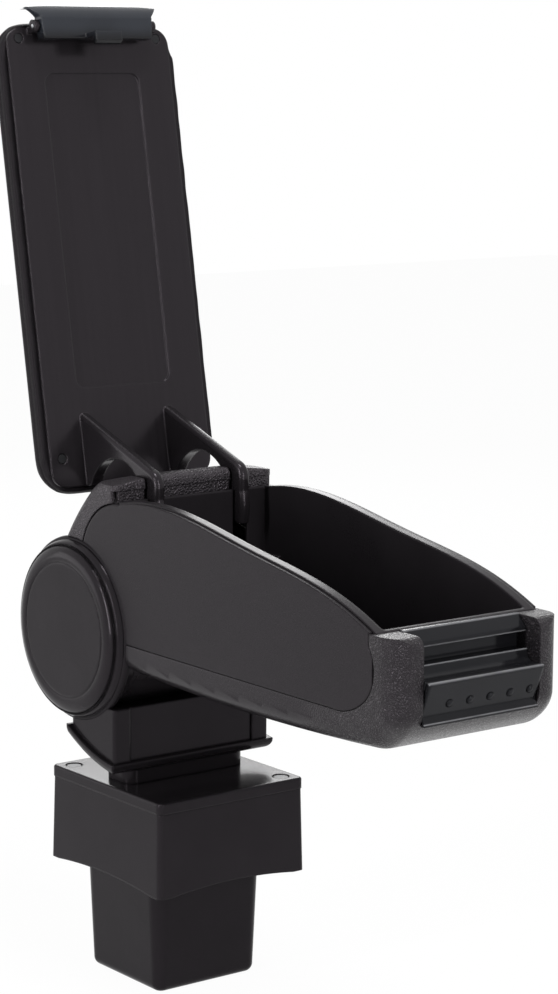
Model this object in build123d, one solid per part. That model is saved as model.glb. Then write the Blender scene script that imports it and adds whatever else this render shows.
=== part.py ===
from build123d import *
from math import atan, cos, degrees, hypot, radians, sin, sqrt
import os

# A car centre armrest: a plug and skirt that fit a console, a neck with a round pivot,
# a tilting arm with a storage bin, and a padded lid with a sprung latch.
# Millimetres. X forward, Y left, Z up, origin at the centre of the plug's foot.

# Fits and walls
skin = 2.5            # wall of the moulded shells
seam = 0.4            # visible line between two mouldings
loose = 0.3           # clearance of parts that only lie together
running = 0.05        # radial clearance of a pin or axle that turns

# Console plug and its clamp bolt
plug_foot = 69.5      # side of the square at the foot
plug_mouth = 79.5     # side of the square under the cap
plug_corner = 6.0     # at the foot; it grows with the taper
plug_height = 113.0
plug_round = 5.0      # rounding of the foot's edge
bolt_radius = 4.0
bolt_head_radius = 6.8
bolt_head_deep = 5.0
nut_high = 6.5
washer_radius = 9.6

# Skirt and cap
skirt_centre = 3.8
skirt_long = 109.0
skirt_wide = 100.0
skirt_flare = 1.0     # each wall leans out by this much at its lower edge
skirt_height = 48.5
skirt_corner = 3.0
skirt_arch = 3.0      # rise of the lower edges between the corners
skirt_foot = 7.0      # straight piece of lower edge beside each corner
cap_thick = 6.5
cap_lip = 0.5         # overhang of the cap over the skirt
cap_round = 1.4
boss_inset = 9.0      # cap screws, from the skirt's outer faces
boss_high = 24.0
screw_shank = 2.0
screw_head = 4.2
screw_head_deep = 2.2

# Rocker foot: a dish, curved fore and aft, that carries the neck
dish_radius = 115.0
dish_thick = 7.0
dish_axis_ahead = 53.8   # dish axis in front of the tilt axis
dish_lift = 7.0          # lowest line of the dish above the cap
dish_edge = 6.0          # rounding of the dish's lower edges
dish_overhang = 1.6      # dish beyond the neck, in front and behind
dish_side = 2.5          # dish beyond the neck at the sides
pedestal_margin = 15.0   # pedestal inside the dish's plan
pedestal_front = 6.0
pedestal_corner = 8.0

# Neck, measured from the tilt axis
neck_behind = 3.7
neck_ahead = 39.9
neck_side = 1.5          # neck inside the arm's sides
neck_drop = 40.5         # top of the neck's front face, below the axis
cheek_thick = 11.0
cheek_edge = 1.8
panel_inset = 1.2
neck_seam = 0.8          # line between cheeks and panels
neck_screw_in = 12.0     # neck screws from the neck's front and rear
neck_screw_long = 20.0

# Barrel pivot
pivot_setback = 20.4     # tilt axis behind the plug's middle
pivot_rise = 86.5        # tilt axis above the cap
cheek_radius = 48.0
drum_radius = 47.0
disc_radius = 51.3
disc_thick = 8.0         # end discs beyond the neck
disc_dome = (12.0, 7.4)  # rounding of the discs' rims, inwards and along the axis
disc_groove = 38.8       # radius of the ring groove
groove_wide = 1.6
groove_deep = 0.8
disc_gap = 1.7           # between the end discs and the arm
axle_radius = 6.0
axle_head = 10.0
axle_head_deep = 4.5
bush_wall = 2.0
bush_long = 14.0
washer_thick = 0.7
stop_radius = 3.0        # pin that limits the tilt
stop_orbit = 24.0
stop_angle = 250.0       # where the pin stands, seen from the right side
tilt_range = 95.0

# Arm body, forwards and up from the tilt axis, or back from the arm's front
body_half = 55.5
body_reach = 288.4
body_depth = 20.0        # lowest point of the keel, below the axis
body_belly_back = 133.0
body_tail_drop = 13.4    # keel below the axis where it meets the drum
body_chin_back = 24.0    # where the floor curves up into the front
body_chin_drop = 16.6
body_brow = 6.0          # rounding between the front and the top of its corners
body_shoulder_back = 19.5
body_shoulder_rise = 43.0
body_corner = 14.0       # front corners in plan
body_chine = 12.0        # rounding between floor and sides

# Side panels: the front curve, back from the arm's front and up from the panel's lower seam
panel_nose = ((22.5, 37.0), (18.4, 21.5), (25.0, 8.5), (36.0, 2.0), (52.0, 0.0))
panel_hollow = (22.5, 69.8)  # middle of the curve under the crown's ears, from the tilt axis
panel_top_angle = 79.0       # where that curve leaves the disc

# Bin and its rim
bin_ahead = 57.4         # bin's deep part in front of the tilt axis
bin_shelf = 38.0         # shelf behind it, under the crown, above the tilt axis
bin_side = 6.3           # bin inside the arm's sides
bin_wall = 2.2
bin_lift = 6.0           # bin floor above the keel's floor
bin_corner = 4.0
bin_screw_in = 40.0      # bin screws from the ends of the bin
rim_rear_at = (46.4, 78.6)   # from the tilt axis
rim_peak_at = (73.9, 81.6)
rim_middle_at = (128.0, 70.4)    # back from the arm's front, up from the tilt axis
rim_fall_at = (56.3, 57.0)
rim_high = 5.0           # depth of the rim's flange
panel_step = 0.8         # side panels' upper edges below the rim
panel_roll = 2.0         # rounding of those edges

# Rear cover, from the tilt axis
cover_skin = 3.0
cover_reach = 42.5
cover_back_angle = 100.0     # where the cover meets the drum
cover_back_at = (3.0, 68.4)
cover_neck_at = (16.4, 82.2)
cover_crown_at = (36.5, 91.6)
cover_edge_rise = 86.0   # end of the crown's front curve
cover_lip = 2.0          # front edge below it
cover_droop = 4.5        # how much lower it is at the ears
cover_ear = 5.0          # rounding of the ears
cover_sink = 1.5         # cover's lower edge below the top of the disc room

# Lid and its hinge
hinge_ahead = 12.2       # hinge axis from the tilt axis
hinge_rise = 69.2
hinge_pin = 2.0
hinge_knuckle = 4.5
lid_open = 100.3         # angle of the open lid above the X axis
lid_plane = 28.7         # inner face of the lid from the hinge axis
lid_rear = 9.1           # rear end of the lid, from the hinge axis
lid_over = 6.3           # lid beyond the arm, in front and at the sides
lid_side = 5.0
lid_corner = 15.0
pad_thick = 21.0
pad_round = 9.0
panel_thick = 3.0
panel_margin = 4.7       # pad's rim round the inner panel
tray_behind = 60.9       # shallow recess in the inner panel, from the panel's ends
tray_ahead = 31.0
tray_half = 32.6
tray_deep = 1.2
tray_corner = 6.0
lid_screw_in = 10.8      # lid screws, from the lid's front end and its sides
lid_screw_side = 13.0
lid_screw_long = 9.0
lid_screw_head = 2.6

# Goosenecks of the lid, as sizes and angles in the lid's frame
goose_middle = 29.3
goose_wide = 7.0
goose_round = 2.8        # rounding of the front edge and the hook
goose_inner = 28.0
goose_outer = 39.5
goose_foot = 55.8        # where the web's front edge meets the lid
goose_elbow = (15.5, -42.2)
goose_bend = 10.0        # rounding of the elbow
goose_leg_from = -95.0   # the leg between the hook and the hinge
goose_leg_to = -115.0
goose_hook_angle = -87.0
goose_eye_angle = 60.0
goose_slack = 1.5        # each side of a gooseneck in its slot
goose_slot_behind = 4.0  # slot's rear end behind the hinge axis

# Front bezel and grip panel, back from the arm's front and up from the tilt axis
bezel_half = 38.2
bezel_drop = 1.0
bezel_step = 0.6         # bezel above the rim's front end
lip_back = 11.0
lip_rise = 37.5
lip_thick = 2.3
slot_deep = 6.0
slot_rise = 26.5
cove = 5.0               # hollow between the catch wall and the recess
cove_top = 1.5
recess_rise = 20.5
grip_top_ahead = 4.5
grip_low_back = 4.0
grip_thick = 3.0
grip_edge = 1.0
dot_count = 5
dot_pitch = 13.4
dot_radius = 1.8
dot_proud = 0.7
dot_height = 8.7         # dots above the grip panel's lower edge
dot_middle = 5.5         # middle of the row, left of the arm's middle

# Latch, from the lid's front end and its inner face
latch_half = 44.5       # at the outer edge
latch_waist = 38.2      # at the lid's front end
latch_foot = 37.0       # at the lower edge
latch_pin_in = 5.0
latch_pin_drop = 6.1
latch_pin_radius = 1.2
latch_block_in = 7.7     # latch round its pin
latch_block_out = 4.0
latch_block_top = 2.2
latch_drop = 11.2
latch_round = 1.2
latch_over = 8.5
latch_bow = 2.6          # latch's outer edge, further out at the middle than at the ends
latch_rise = 2.3
latch_curl = (4.0, 3.6)      # middles of the lever's two curves, in from its end and up from the latch
latch_curl_in = (5.5, 6.5)
tooth_half = 9.0
tooth_back = 17.5
tooth_drop = 21.7
tooth_thick = 2.5
tooth_lead = 2.0
ear_wide = 3.0
ear_reach = 3.6
spring_radius = 2.2
spring_wire = 0.4
spring_turns = 4
spring_long = 6.0
spring_room = 1.0

# Values worked out from the sizes above
cap_low = plug_height
cap_top = cap_low + cap_thick
skirt_low = cap_low - skirt_height
pivot_x = -pivot_setback
pivot_z = cap_top + pivot_rise


def from_pivot(at):
    """A point in side view, given forwards and up from the tilt axis."""
    return (pivot_x + at[0], pivot_z + at[1])


def from_front(at):
    """A point in side view, given back from the arm's front and up from the tilt axis."""
    return (pivot_x + body_reach - at[0], pivot_z + at[1])


dish_axis_x = pivot_x + dish_axis_ahead
dish_axis_z = cap_top + dish_lift + dish_thick + dish_radius
neck_half = body_half - neck_side
dish_half = neck_half + dish_side
neck_rear = pivot_x - neck_behind
neck_front = pivot_x + neck_ahead
neck_shoulder_z = pivot_z - neck_drop
cheek_in = neck_half - cheek_thick
drum_half = cheek_in - washer_thick - 2 * running
disc_face = neck_half + disc_thick
disc_clear = disc_radius + disc_gap
bush_radius = axle_radius + bush_wall
hub_radius = bush_radius + skin
body_front = pivot_x + body_reach
body_shoulder_x, body_shoulder = from_front((body_shoulder_back, body_shoulder_rise))
body_chin_x, body_chin = from_front((body_chin_back, -body_chin_drop))
body_belly_x, body_floor = from_front((body_belly_back, -body_depth))
body_tail = pivot_z - body_tail_drop
panel_in = body_half - skin - loose
cover_front = pivot_x + cover_reach
bin_rear = pivot_x + bin_ahead
bin_front = body_shoulder_x - loose
bin_half = body_half - bin_side
bin_floor = body_floor + skin + bin_lift
rim_rear = from_pivot(rim_rear_at)
rim_peak = from_pivot(rim_peak_at)
rim_end = (body_shoulder_x, body_shoulder)
rim_points = [rim_rear, rim_peak, from_front(rim_middle_at), from_front(rim_fall_at), rim_end]
hinge_x, hinge_z = from_pivot((hinge_ahead, hinge_rise))
bezel_floor = pivot_z - bezel_drop
lid_front = body_front + lid_over - hinge_x
lid_half = body_half + lid_side
sides = (-1, 1)
far = 400.0              # reach of the tools that cut right through


def slab(x0, x1, y0, y1, z0, z1):
    """A box between six faces."""
    return Pos((x0 + x1) / 2, (y0 + y1) / 2, (z0 + z1) / 2) * Box(x1 - x0, y1 - y0, z1 - z0)


def across(face, y0, y1):
    """A side profile, drawn as X and Z, carried across from y0 to y1."""
    return extrude(Plane.XZ.offset(-y1) * face, y1 - y0)


def rod(x, z, radius, y0, y1):
    """A round bar along Y."""
    return across(Pos(x, z) * Circle(radius), y0, y1)


def polygon(*points):
    """A face with straight edges."""
    return make_face(Polyline(*points, close=True))


def on_circle(x, z, radius, angle):
    """The point of a circle at an angle from +X towards +Z."""
    return (x + radius * cos(radians(angle)), z + radius * sin(radians(angle)))


def pivot_rod(radius, y0, y1):
    """A round bar on the tilt axis."""
    return rod(pivot_x, pivot_z, radius, y0, y1)


def lid_place(angle):
    """The lid's frame, along the lid and away from the bin, turned to an angle about its hinge."""
    return Pos(hinge_x, 0, hinge_z) * Rot(0, -angle, 0)


def single(shape):
    """The largest solid of a result, without slivers."""
    return max(shape.solids(), key=lambda s: s.volume)


pieces = {}

# Console plug: a tapered cup with a post for the clamp bolt
plug_post = bolt_radius + 2 * skin


def plug_block(inset, floor):
    """The plug's tapered block, shrunk by an inset, from a floor height upwards."""
    lean = (plug_mouth - plug_foot) / 2 / plug_height
    low = plug_foot + 2 * lean * floor - 2 * inset
    foot = Pos(0, 0, floor) * RectangleRounded(low, low, plug_corner + lean * floor - inset)
    return extrude(foot, plug_height - floor, taper=-degrees(atan(lean)))


plug = plug_block(0, 0)
plug = fillet(plug.edges().group_by(Axis.Z)[0], plug_round)
plug -= plug_block(skin, skin)
plug += Pos(0, 0, plug_height / 2) * Cylinder(plug_post, plug_height)
plug -= Pos(0, 0, plug_height / 2) * Cylinder(bolt_radius + loose, plug_height + far)
head_seat = bolt_head_deep + skin
plug -= Pos(0, 0, head_seat / 2) * Cylinder(bolt_head_radius + loose, head_seat)
pieces["console_plug"] = plug

# Skirt: four flared walls with arched lower edges and bosses in two opposite corners


def skirt_block(inset):
    """The skirt's flared block, shrunk by an inset."""
    low_long = skirt_long + 2 * skirt_flare - 2 * inset
    low_wide = skirt_wide + 2 * skirt_flare - 2 * inset
    corner = max(skirt_corner - inset, seam)
    foot = Pos(skirt_centre, 0, skirt_low) * RectangleRounded(low_long, low_wide, corner)
    top = RectangleRounded(skirt_long - 2 * inset, skirt_wide - 2 * inset, corner)
    return loft([foot, Pos(skirt_centre, 0, cap_low) * top])


def arch(width):
    """The low arch cut from a wall's lower edge."""
    half = width / 2 - skirt_foot
    curve = ThreePointArc((-half, 0), (0, skirt_arch), (half, 0))
    return make_face([curve, Line((half, 0), (-half, 0))])


skirt = skirt_block(0) - skirt_block(skin)
side_arch = across(Pos(skirt_centre, skirt_low) * arch(skirt_long), -far, far)
front_arch = extrude(Plane.YZ.offset(-far) * (Pos(0, skirt_low) * arch(skirt_wide)), 2 * far)
skirt -= side_arch
skirt -= front_arch
boss_x = skirt_long / 2 - boss_inset
boss_y = skirt_wide / 2 - boss_inset
boss_places = [(skirt_centre + side * boss_x, side * boss_y) for side in sides]
for x, y in boss_places:
    toward_x = boss_inset if x > skirt_centre else -boss_inset
    toward_y = boss_inset if y > 0 else -boss_inset
    post = Pos(x, y, cap_low - boss_high / 2) * Cylinder(screw_head, boss_high)
    web = slab(min(x, x + toward_x), max(x, x + toward_x), y - skin / 2, y + skin / 2,
               cap_low - boss_high, cap_low)
    web += slab(x - skin / 2, x + skin / 2, min(y, y + toward_y), max(y, y + toward_y),
                cap_low - boss_high, cap_low)
    skirt += (post + web) & skirt_block(skin / 2)
    skirt -= Pos(x, y, cap_low - boss_high / 2) * Cylinder(screw_shank, boss_high)
pieces["console_skirt"] = skirt

# Cap: the plate on top of the skirt, with a lip and two counterbores
cap_face = RectangleRounded(skirt_long + 2 * cap_lip, skirt_wide + 2 * cap_lip, skirt_corner + cap_lip)
cap = extrude(Pos(skirt_centre, 0, cap_low) * cap_face, cap_thick)
cap = fillet(cap.edges().group_by(Axis.Z)[-1], cap_round)
for x, y in boss_places:
    cap -= Pos(x, y, cap_low) * Cylinder(screw_shank + loose, far)
    cap -= Pos(x, y, cap_top) * Cylinder(screw_head + 2 * seam, 2 * screw_head_deep + 2 * seam)
cap -= Pos(0, 0, cap_low) * Cylinder(bolt_radius + loose, far)
pieces["skirt_cap"] = cap

# Cap screws, one group
screw_long = boss_high - 2 * skin
screws = []
seat = cap_top - screw_head_deep - seam
for x, y in boss_places:
    shank = Pos(x, y, seat - screw_long / 2) * Cylinder(screw_shank - running, screw_long)
    head = Pos(x, y, seat + screw_head_deep / 2) * Cylinder(screw_head, screw_head_deep)
    screws.append(single(shank + head))
pieces["cap_screws"] = Compound(children=screws)

# Rocker foot: the curved dish on its pedestal
dish_rear = neck_rear - dish_overhang
dish_front = neck_front + dish_overhang


def dish_disc(radius, half):
    """A cylinder on the dish's axis."""
    return rod(dish_axis_x, dish_axis_z, radius, -half, half)


dish = dish_disc(dish_radius + dish_thick, dish_half) - dish_disc(dish_radius, dish_half)
dish &= slab(dish_rear, dish_front, -dish_half, dish_half, cap_top, dish_axis_z)
lower = dish.faces().filter_by(GeomType.CYLINDER).sort_by(Axis.Z)[0]
dish = fillet(lower.edges(), dish_edge)
pedestal = slab(dish_rear + pedestal_margin, dish_front - pedestal_front,
                pedestal_margin - dish_half, dish_half - pedestal_margin, cap_top, dish_axis_z)
pedestal = fillet(pedestal.edges().filter_by(Axis.Z), pedestal_corner)
pedestal &= dish_disc(dish_radius + dish_thick + far, far) - dish_disc(dish_radius + dish_thick / 2, far)
foot = dish + pedestal
foot -= Pos(0, 0, cap_top) * Cylinder(bolt_radius + loose, far)
pieces["rocker_foot"] = foot

# Clamp bolt from the plug's foot through the cap and the dish, with its washer and nut
dish_seat = dish_axis_z - sqrt(dish_radius**2 - dish_axis_x**2)
nut_seat = dish_seat + skin
bolt_end = nut_seat + nut_high + 2 * skin
bolt = Pos(0, 0, (head_seat + bolt_end) / 2) * Cylinder(bolt_radius, bolt_end - head_seat)
hexagon = RegularPolygon(bolt_head_radius, 6)
bolt += extrude(Pos(0, 0, head_seat - bolt_head_deep) * hexagon, bolt_head_deep)
pieces["clamp_bolt"] = bolt
washer = Pos(0, 0, (dish_seat + nut_seat) / 2) * Cylinder(washer_radius, nut_seat - dish_seat + 2 * skin)
washer -= Pos(0, 0, nut_seat) * Cylinder(bolt_radius + loose, far)
washer &= dish_disc(dish_radius, far)
washer &= slab(-far, far, -far, far, 0, nut_seat)
pieces["clamp_washer"] = washer
nut = extrude(Pos(0, 0, nut_seat) * RegularPolygon(bolt_head_radius, 6), nut_high)
nut -= Pos(0, 0, nut_seat) * Cylinder(bolt_radius + running, far)
pieces["clamp_nut"] = nut

# Neck cheeks: the two side walls that rise into round bearings for the axle
neck_trim = dish_disc(dish_radius, far)
for side, name in ((-1, "right"), (1, "left")):
    low, high = sorted((side * cheek_in, side * neck_half))
    cheek = slab(neck_rear, neck_front, low, high, cap_top, neck_shoulder_z) & neck_trim
    corners = cheek.edges().filter_by(Axis.Z)
    outer = corners.sort_by(Axis.Y)[-2:] if side > 0 else corners.sort_by(Axis.Y)[:2]
    cheek = fillet(outer, cheek_edge)
    cheek += pivot_rod(cheek_radius, low, high)
    cheek -= pivot_rod(axle_radius + running, -far, far)
    rim_in, rim_out = sorted((side * (neck_half - skin), side * far))
    cheek -= pivot_rod(axle_head + loose, rim_in, rim_out)
    stop_x, stop_z = on_circle(pivot_x, pivot_z, stop_orbit, stop_angle)
    cheek -= rod(stop_x, stop_z, stop_radius, *sorted((0, side * (neck_half - skin))))
    pieces[f"{name}_neck_cheek"] = cheek

# Neck panels between the cheeks, in front and behind
drum_clear = pivot_rod(drum_radius + 2 * loose, -far, far)
panel_half = cheek_in - neck_seam
front_x = neck_front - panel_inset
front_panel = slab(front_x - skin, front_x, -panel_half, panel_half, cap_top, neck_shoulder_z)
front_panel += slab(pivot_x, front_x, -panel_half, panel_half, neck_shoulder_z - skin, neck_shoulder_z)
front_panel = front_panel & neck_trim
front_panel -= drum_clear
pieces["neck_front_panel"] = single(front_panel)
rear_x = neck_rear + panel_inset
rear_panel = slab(rear_x, rear_x + skin, -panel_half, panel_half, cap_top, pivot_z) & neck_trim
rear_panel -= drum_clear
pieces["neck_rear_panel"] = max(rear_panel.solids(), key=lambda s: -s.center().Z)

# Neck screws, up through the dish into the cheeks, with their heads in spot faces
neck_screws = []
for x in (neck_rear + neck_screw_in, neck_front - neck_screw_in):
    dish_z = dish_axis_z - sqrt((dish_radius + dish_thick)**2 - (dish_axis_x - x)**2)
    for side in sides:
        y = side * (cheek_in + neck_half) / 2
        seat = Pos(x, y, dish_z + dish_thick / 2)
        shank = seat * Pos(0, 0, neck_screw_long / 2) * Cylinder(screw_shank, neck_screw_long)
        head = seat * Pos(0, 0, -screw_head_deep / 2) * Cylinder(screw_head, screw_head_deep)
        neck_screws.append(single(shank + head))
        drill = Cylinder(screw_shank + running, neck_screw_long + skin)
        drill = seat * Pos(0, 0, neck_screw_long / 2) * drill
        spot = seat * Pos(0, 0, -dish_thick) * Cylinder(screw_head + loose, 2 * dish_thick)
        cheek_name = "right_neck_cheek" if side < 0 else "left_neck_cheek"
        pieces["rocker_foot"] -= drill + spot
        pieces[cheek_name] -= drill
pieces["neck_screws"] = Compound(children=neck_screws)

# Tilt axle, its nut, and the pin that stops the tilt
axle_end = neck_half - skin
axle = pivot_rod(axle_radius, -axle_end - axle_head_deep, axle_end)
axle += pivot_rod(axle_head, axle_end, axle_end + axle_head_deep)
pieces["tilt_axle"] = axle
nut_face = Pos(pivot_x, pivot_z) * RegularPolygon(axle_head, 6)
axle_nut = across(nut_face, -axle_end - axle_head_deep, -axle_end)
axle_nut -= pivot_rod(axle_radius + running, -far, far)
pieces["axle_nut"] = axle_nut
pieces["tilt_stop_pin"] = rod(stop_x, stop_z, stop_radius - running, skin - neck_half, neck_half - skin)

# Friction washers between the cheeks and the drum
washers = []
for side in sides:
    near, out = sorted((side * (cheek_in - running), side * (drum_half + running)))
    ring = pivot_rod(stop_orbit - 2 * stop_radius, near, out) - pivot_rod(axle_radius + running, near, out)
    washers.append(single(ring))
pieces["friction_washers"] = Compound(children=washers)

# End discs: domed covers with a ring groove, each on a spigot in its cheek's counterbore
dome_in = disc_radius - disc_dome[0]
dome_low = disc_face - disc_dome[1]
dome_mid = (dome_in + disc_dome[0] * sin(radians(45)), dome_low + disc_dome[1] * cos(radians(45)))
disc_in = neck_half + loose
disc_wall = disc_face - skin
disc_face_edges = [
    Line((0, disc_wall), (0, disc_face)),
    Line((0, disc_face), (dome_in, disc_face)),
    ThreePointArc((dome_in, disc_face), dome_mid, (disc_radius, dome_low)),
    Line((disc_radius, dome_low), (disc_radius, disc_in)),
    Line((disc_radius, disc_in), (disc_radius - skin, disc_in)),
    Line((disc_radius - skin, disc_in), (disc_radius - skin, disc_wall)),
    Line((disc_radius - skin, disc_wall), (0, disc_wall)),
]
disc_section = make_face(disc_face_edges)
groove_low = (disc_groove, disc_face - groove_deep)
groove_in = (disc_groove - groove_wide / 2, disc_face + seam)
groove_out = (disc_groove + groove_wide / 2, disc_face + seam)
disc_section -= polygon(groove_in, groove_low, groove_out)
disc = revolve(Plane.XY * disc_section, Axis.Y)
posts = [on_circle(0, 0, (axle_head + cheek_radius) / 2, 90 + 120 * i) for i in range(3)]
for x, z in posts:
    disc += rod(x, z, 2 * skin, disc_in - loose, disc_wall + seam)
disc = Pos(pivot_x, 0, pivot_z) * disc
pieces["left_end_disc"] = disc
pieces["right_end_disc"] = mirror(disc, Plane.XZ)


# Arm body: one block, from which the keel, the panels and the front take their outer faces
tail_x = pivot_x


def body_side(inset):
    """The arm's side profile, shrunk by an inset, open upwards and to the rear."""
    rear = tail_x - 3 * inset
    sky = far + 3 * inset
    belly = ThreePointArc((rear, body_tail), (body_belly_x, body_floor), (body_chin_x, body_chin))
    rise = belly % 1
    chin_end = (body_front, body_chin + (body_front - body_chin_x) * rise.X / (1 - rise.Y))
    chin = TangentArc(belly @ 1, chin_end, tangent=rise)
    brow_x, brow_z = body_front - body_brow, body_shoulder - body_brow
    brow_mid = on_circle(brow_x, brow_z, body_brow, 45)
    outline = make_face([
        belly,
        chin,
        Line(chin_end, (body_front, brow_z)),
        ThreePointArc((body_front, brow_z), brow_mid, (brow_x, body_shoulder)),
        Line((brow_x, body_shoulder), (body_shoulder_x, body_shoulder)),
        Line((body_shoulder_x, body_shoulder), (body_shoulder_x, sky)),
        Line((body_shoulder_x, sky), (rear, sky)),
        Line((rear, sky), (rear, body_tail)),
    ])
    return offset(outline, -inset) if inset else outline


def body_plan(inset):
    """The arm's plan, with round front corners."""
    rear = tail_x - 2 * inset
    front = body_front - inset
    half = body_half - inset
    plan = Pos((front + rear) / 2, 0) * Rectangle(front - rear, 2 * half)
    return fillet(plan.vertices().sort_by(Axis.X)[-2:], body_corner - inset)


def disc_room(radius, inner):
    """The space round the end discs that the arm keeps clear of."""
    return pivot_rod(radius, inner, far) + pivot_rod(radius, -far, -inner)


def body_block(inset):
    """The arm's whole block, shrunk by an inset, with the drum between the cheeks."""
    block = single(across(body_side(inset), -far, far) & extrude(body_plan(inset), 2 * far))
    low = block.edges().filter_by(lambda e: (e @ 0.5).Z < (body_chin + body_shoulder) / 2 - body_brow)
    low = low.filter_by(lambda e: abs((e @ 0.5).Y) > body_half / 2)
    block = fillet(low, body_chine - inset)
    block += pivot_rod(drum_radius - inset, inset - drum_half, drum_half - inset)
    return block - disc_room(disc_clear + inset, drum_half - inset)


cover_crown = from_pivot(cover_crown_at)
body_ceiling = cover_crown[1] + body_chine
body = body_block(0) & slab(-far, far, -far, far, 0, body_ceiling)
shell = body - body_block(skin)

# Side panels: round the disc behind, along the seam below, up in a curve at the front
panel_low_rear = (pivot_x + disc_clear, pivot_z)
panel_top_rear = on_circle(pivot_x, pivot_z, disc_clear, panel_top_angle)
panel_bend = on_circle(pivot_x, pivot_z, disc_clear, panel_top_angle / 2)


def below_rim(drop, y0, y1):
    """Everything under the rim's top line, lowered by a drop."""
    top = Spline(*[(x, z - drop) for x, z in rim_points])
    first = rim_points[0]
    last = rim_points[-1]
    edges = [
        top,
        Line((last[0], last[1] - drop), (last[0], 0)),
        Line((last[0], 0), (-far, 0)),
        Line((-far, 0), (-far, first[1] - drop)),
        Line((-far, first[1] - drop), (first[0], first[1] - drop)),
    ]
    return across(make_face(edges), y0, y1)


panel_sky = rim_peak[1] + rim_high
panel_shoulder = (rim_rear[0], rim_rear[1] - panel_step)
nose = [from_front(at) for at in panel_nose]
zone = make_face([
    ThreePointArc(panel_low_rear, panel_bend, panel_top_rear),
    ThreePointArc(panel_top_rear, from_pivot(panel_hollow), panel_shoulder),
    Line(panel_shoulder, (panel_shoulder[0], panel_sky)),
    Line((panel_shoulder[0], panel_sky), (nose[0][0], panel_sky)),
    Line((nose[0][0], panel_sky), nose[0]),
    ThreePointArc(nose[0], nose[1], nose[2]),
    ThreePointArc(nose[2], nose[3], nose[4]),
    Line(nose[4], panel_low_rear),
])
for side, name in ((-1, "right"), (1, "left")):
    near, out = sorted((side * panel_in, side * far))
    panel = shell & across(offset(zone, -seam / 2), near, out)
    panel = single(panel & below_rim(panel_step, -far, far))
    outer = panel.edges().filter_by(lambda e: abs(abs((e @ 0.5).Y) - body_half) < seam)
    pieces[f"{name}_side_panel"] = fillet(outer.sort_by(Axis.Z)[-1], panel_roll)

# Rear cover's profile, from the drum over the crown to the bin
cover_tail = on_circle(pivot_x, pivot_z, drum_radius + loose, cover_back_angle)
cover_start = on_circle(pivot_x, pivot_z, disc_clear, cover_back_angle)
cover_neck = from_pivot(cover_neck_at)
cover_end = (cover_front, pivot_z + cover_edge_rise)
cover_back = ThreePointArc(cover_start, from_pivot(cover_back_at), cover_neck)
cover_top = TangentArc(cover_neck, cover_crown, tangent=cover_back % 1)
cover_edges = [
    Line(cover_tail, cover_start),
    cover_back,
    cover_top,
    TangentArc(cover_crown, cover_end, tangent=cover_top % 1),
    Line(cover_end, (cover_front, cover_tail[1])),
    Line((cover_front, cover_tail[1]), cover_tail),
]
cover_face = make_face(cover_edges)

# Arm frame: the keel with its front corners, the walls round the discs and the drum
frame = shell
for side in sides:
    near, out = sorted((side * (panel_in - loose), side * far))
    frame -= across(offset(zone, seam / 2), near, out)
cover_low = pivot_z + disc_clear - cover_sink
drum_top = on_circle(pivot_x, pivot_z, drum_radius, cover_back_angle)
frame -= slab(drum_top[0] - loose, bin_rear, -far, far, cover_low - loose, far)
frame -= across(offset(cover_face, seam / 2), -far, far)
frame -= slab(drum_top[0] - loose, tail_x, skin - drum_half, drum_half - skin, pivot_z, far)
rim_half = body_half - skin - seam
frame -= slab(bin_rear - loose, far, -far, far, rim_end[1], far)
rim_room = rim_half + loose
rim_bed = rim_end[1] - rim_high - loose
frame -= slab(bin_rear - loose, body_shoulder_x, -rim_room, rim_room, rim_bed, far)
frame -= slab(bin_front, far, -bezel_half - seam, bezel_half + seam, bezel_floor - seam, far)
corner_face = body_side(0) & polygon((body_shoulder_x, bezel_floor), (far, bezel_floor), (far, far),
                                     (body_shoulder_x, far))
for side in sides:
    near, out = sorted((side * (bezel_half + seam), side * (bezel_half + seam + skin)))
    frame += across(corner_face, near, out)
frame += pivot_rod(hub_radius, -drum_half, drum_half)
frame -= pivot_rod(bush_radius, -far, far)
slot_wide = 2 * (stop_radius + loose)
slot_mid = stop_angle - tilt_range / 2
slot_ring = Pos(pivot_x, pivot_z) * (Circle(stop_orbit + slot_wide / 2) - Circle(stop_orbit - slot_wide / 2))
slot_from = on_circle(pivot_x, pivot_z, 4 * stop_orbit, stop_angle)
slot_to = on_circle(pivot_x, pivot_z, 4 * stop_orbit, stop_angle - tilt_range)
slot_out = on_circle(pivot_x, pivot_z, 4 * stop_orbit, slot_mid)
wedge = polygon((pivot_x, pivot_z), slot_from, slot_out, slot_to)
slot_face = slot_ring & wedge
for angle in (stop_angle, stop_angle - tilt_range):
    x, z = on_circle(pivot_x, pivot_z, stop_orbit, angle)
    slot_face += Pos(x, z) * Circle(slot_wide / 2)
frame -= across(slot_face, -far, far)
pieces["arm_frame"] = single(frame)

# Bushes pressed into the drum's hub, one group
bushes = []
for side in sides:
    near, out = sorted((side * (drum_half - bush_long), side * drum_half))
    bush = pivot_rod(bush_radius, near, out) - pivot_rod(axle_radius + running, near, out)
    bushes.append(single(bush))
pieces["axle_bushes"] = Compound(children=bushes)


# Bin liner: a deep tub whose rim lies between the upper edges of the side panels
def bin_block(inset):
    """The bin's block, shrunk by an inset, open upwards."""
    floor = bin_floor + inset
    half = bin_half - inset
    plan = Pos((bin_rear + bin_front) / 2, 0) * RectangleRounded(
        bin_front - bin_rear - 2 * inset, 2 * half, bin_corner - inset)
    block = extrude(plan, far)
    section = Pos(0, floor + far / 2) * Rectangle(2 * half, far)
    section = fillet(section.vertices().sort_by(Axis.Y)[:2], body_chine - inset)
    shelf = slab(rim_back + inset, bin_rear + 2 * bin_corner, -half, half, pivot_z + bin_shelf + inset, far)
    return (block & extrude(Plane.YZ * section, far)) + shelf


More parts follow.
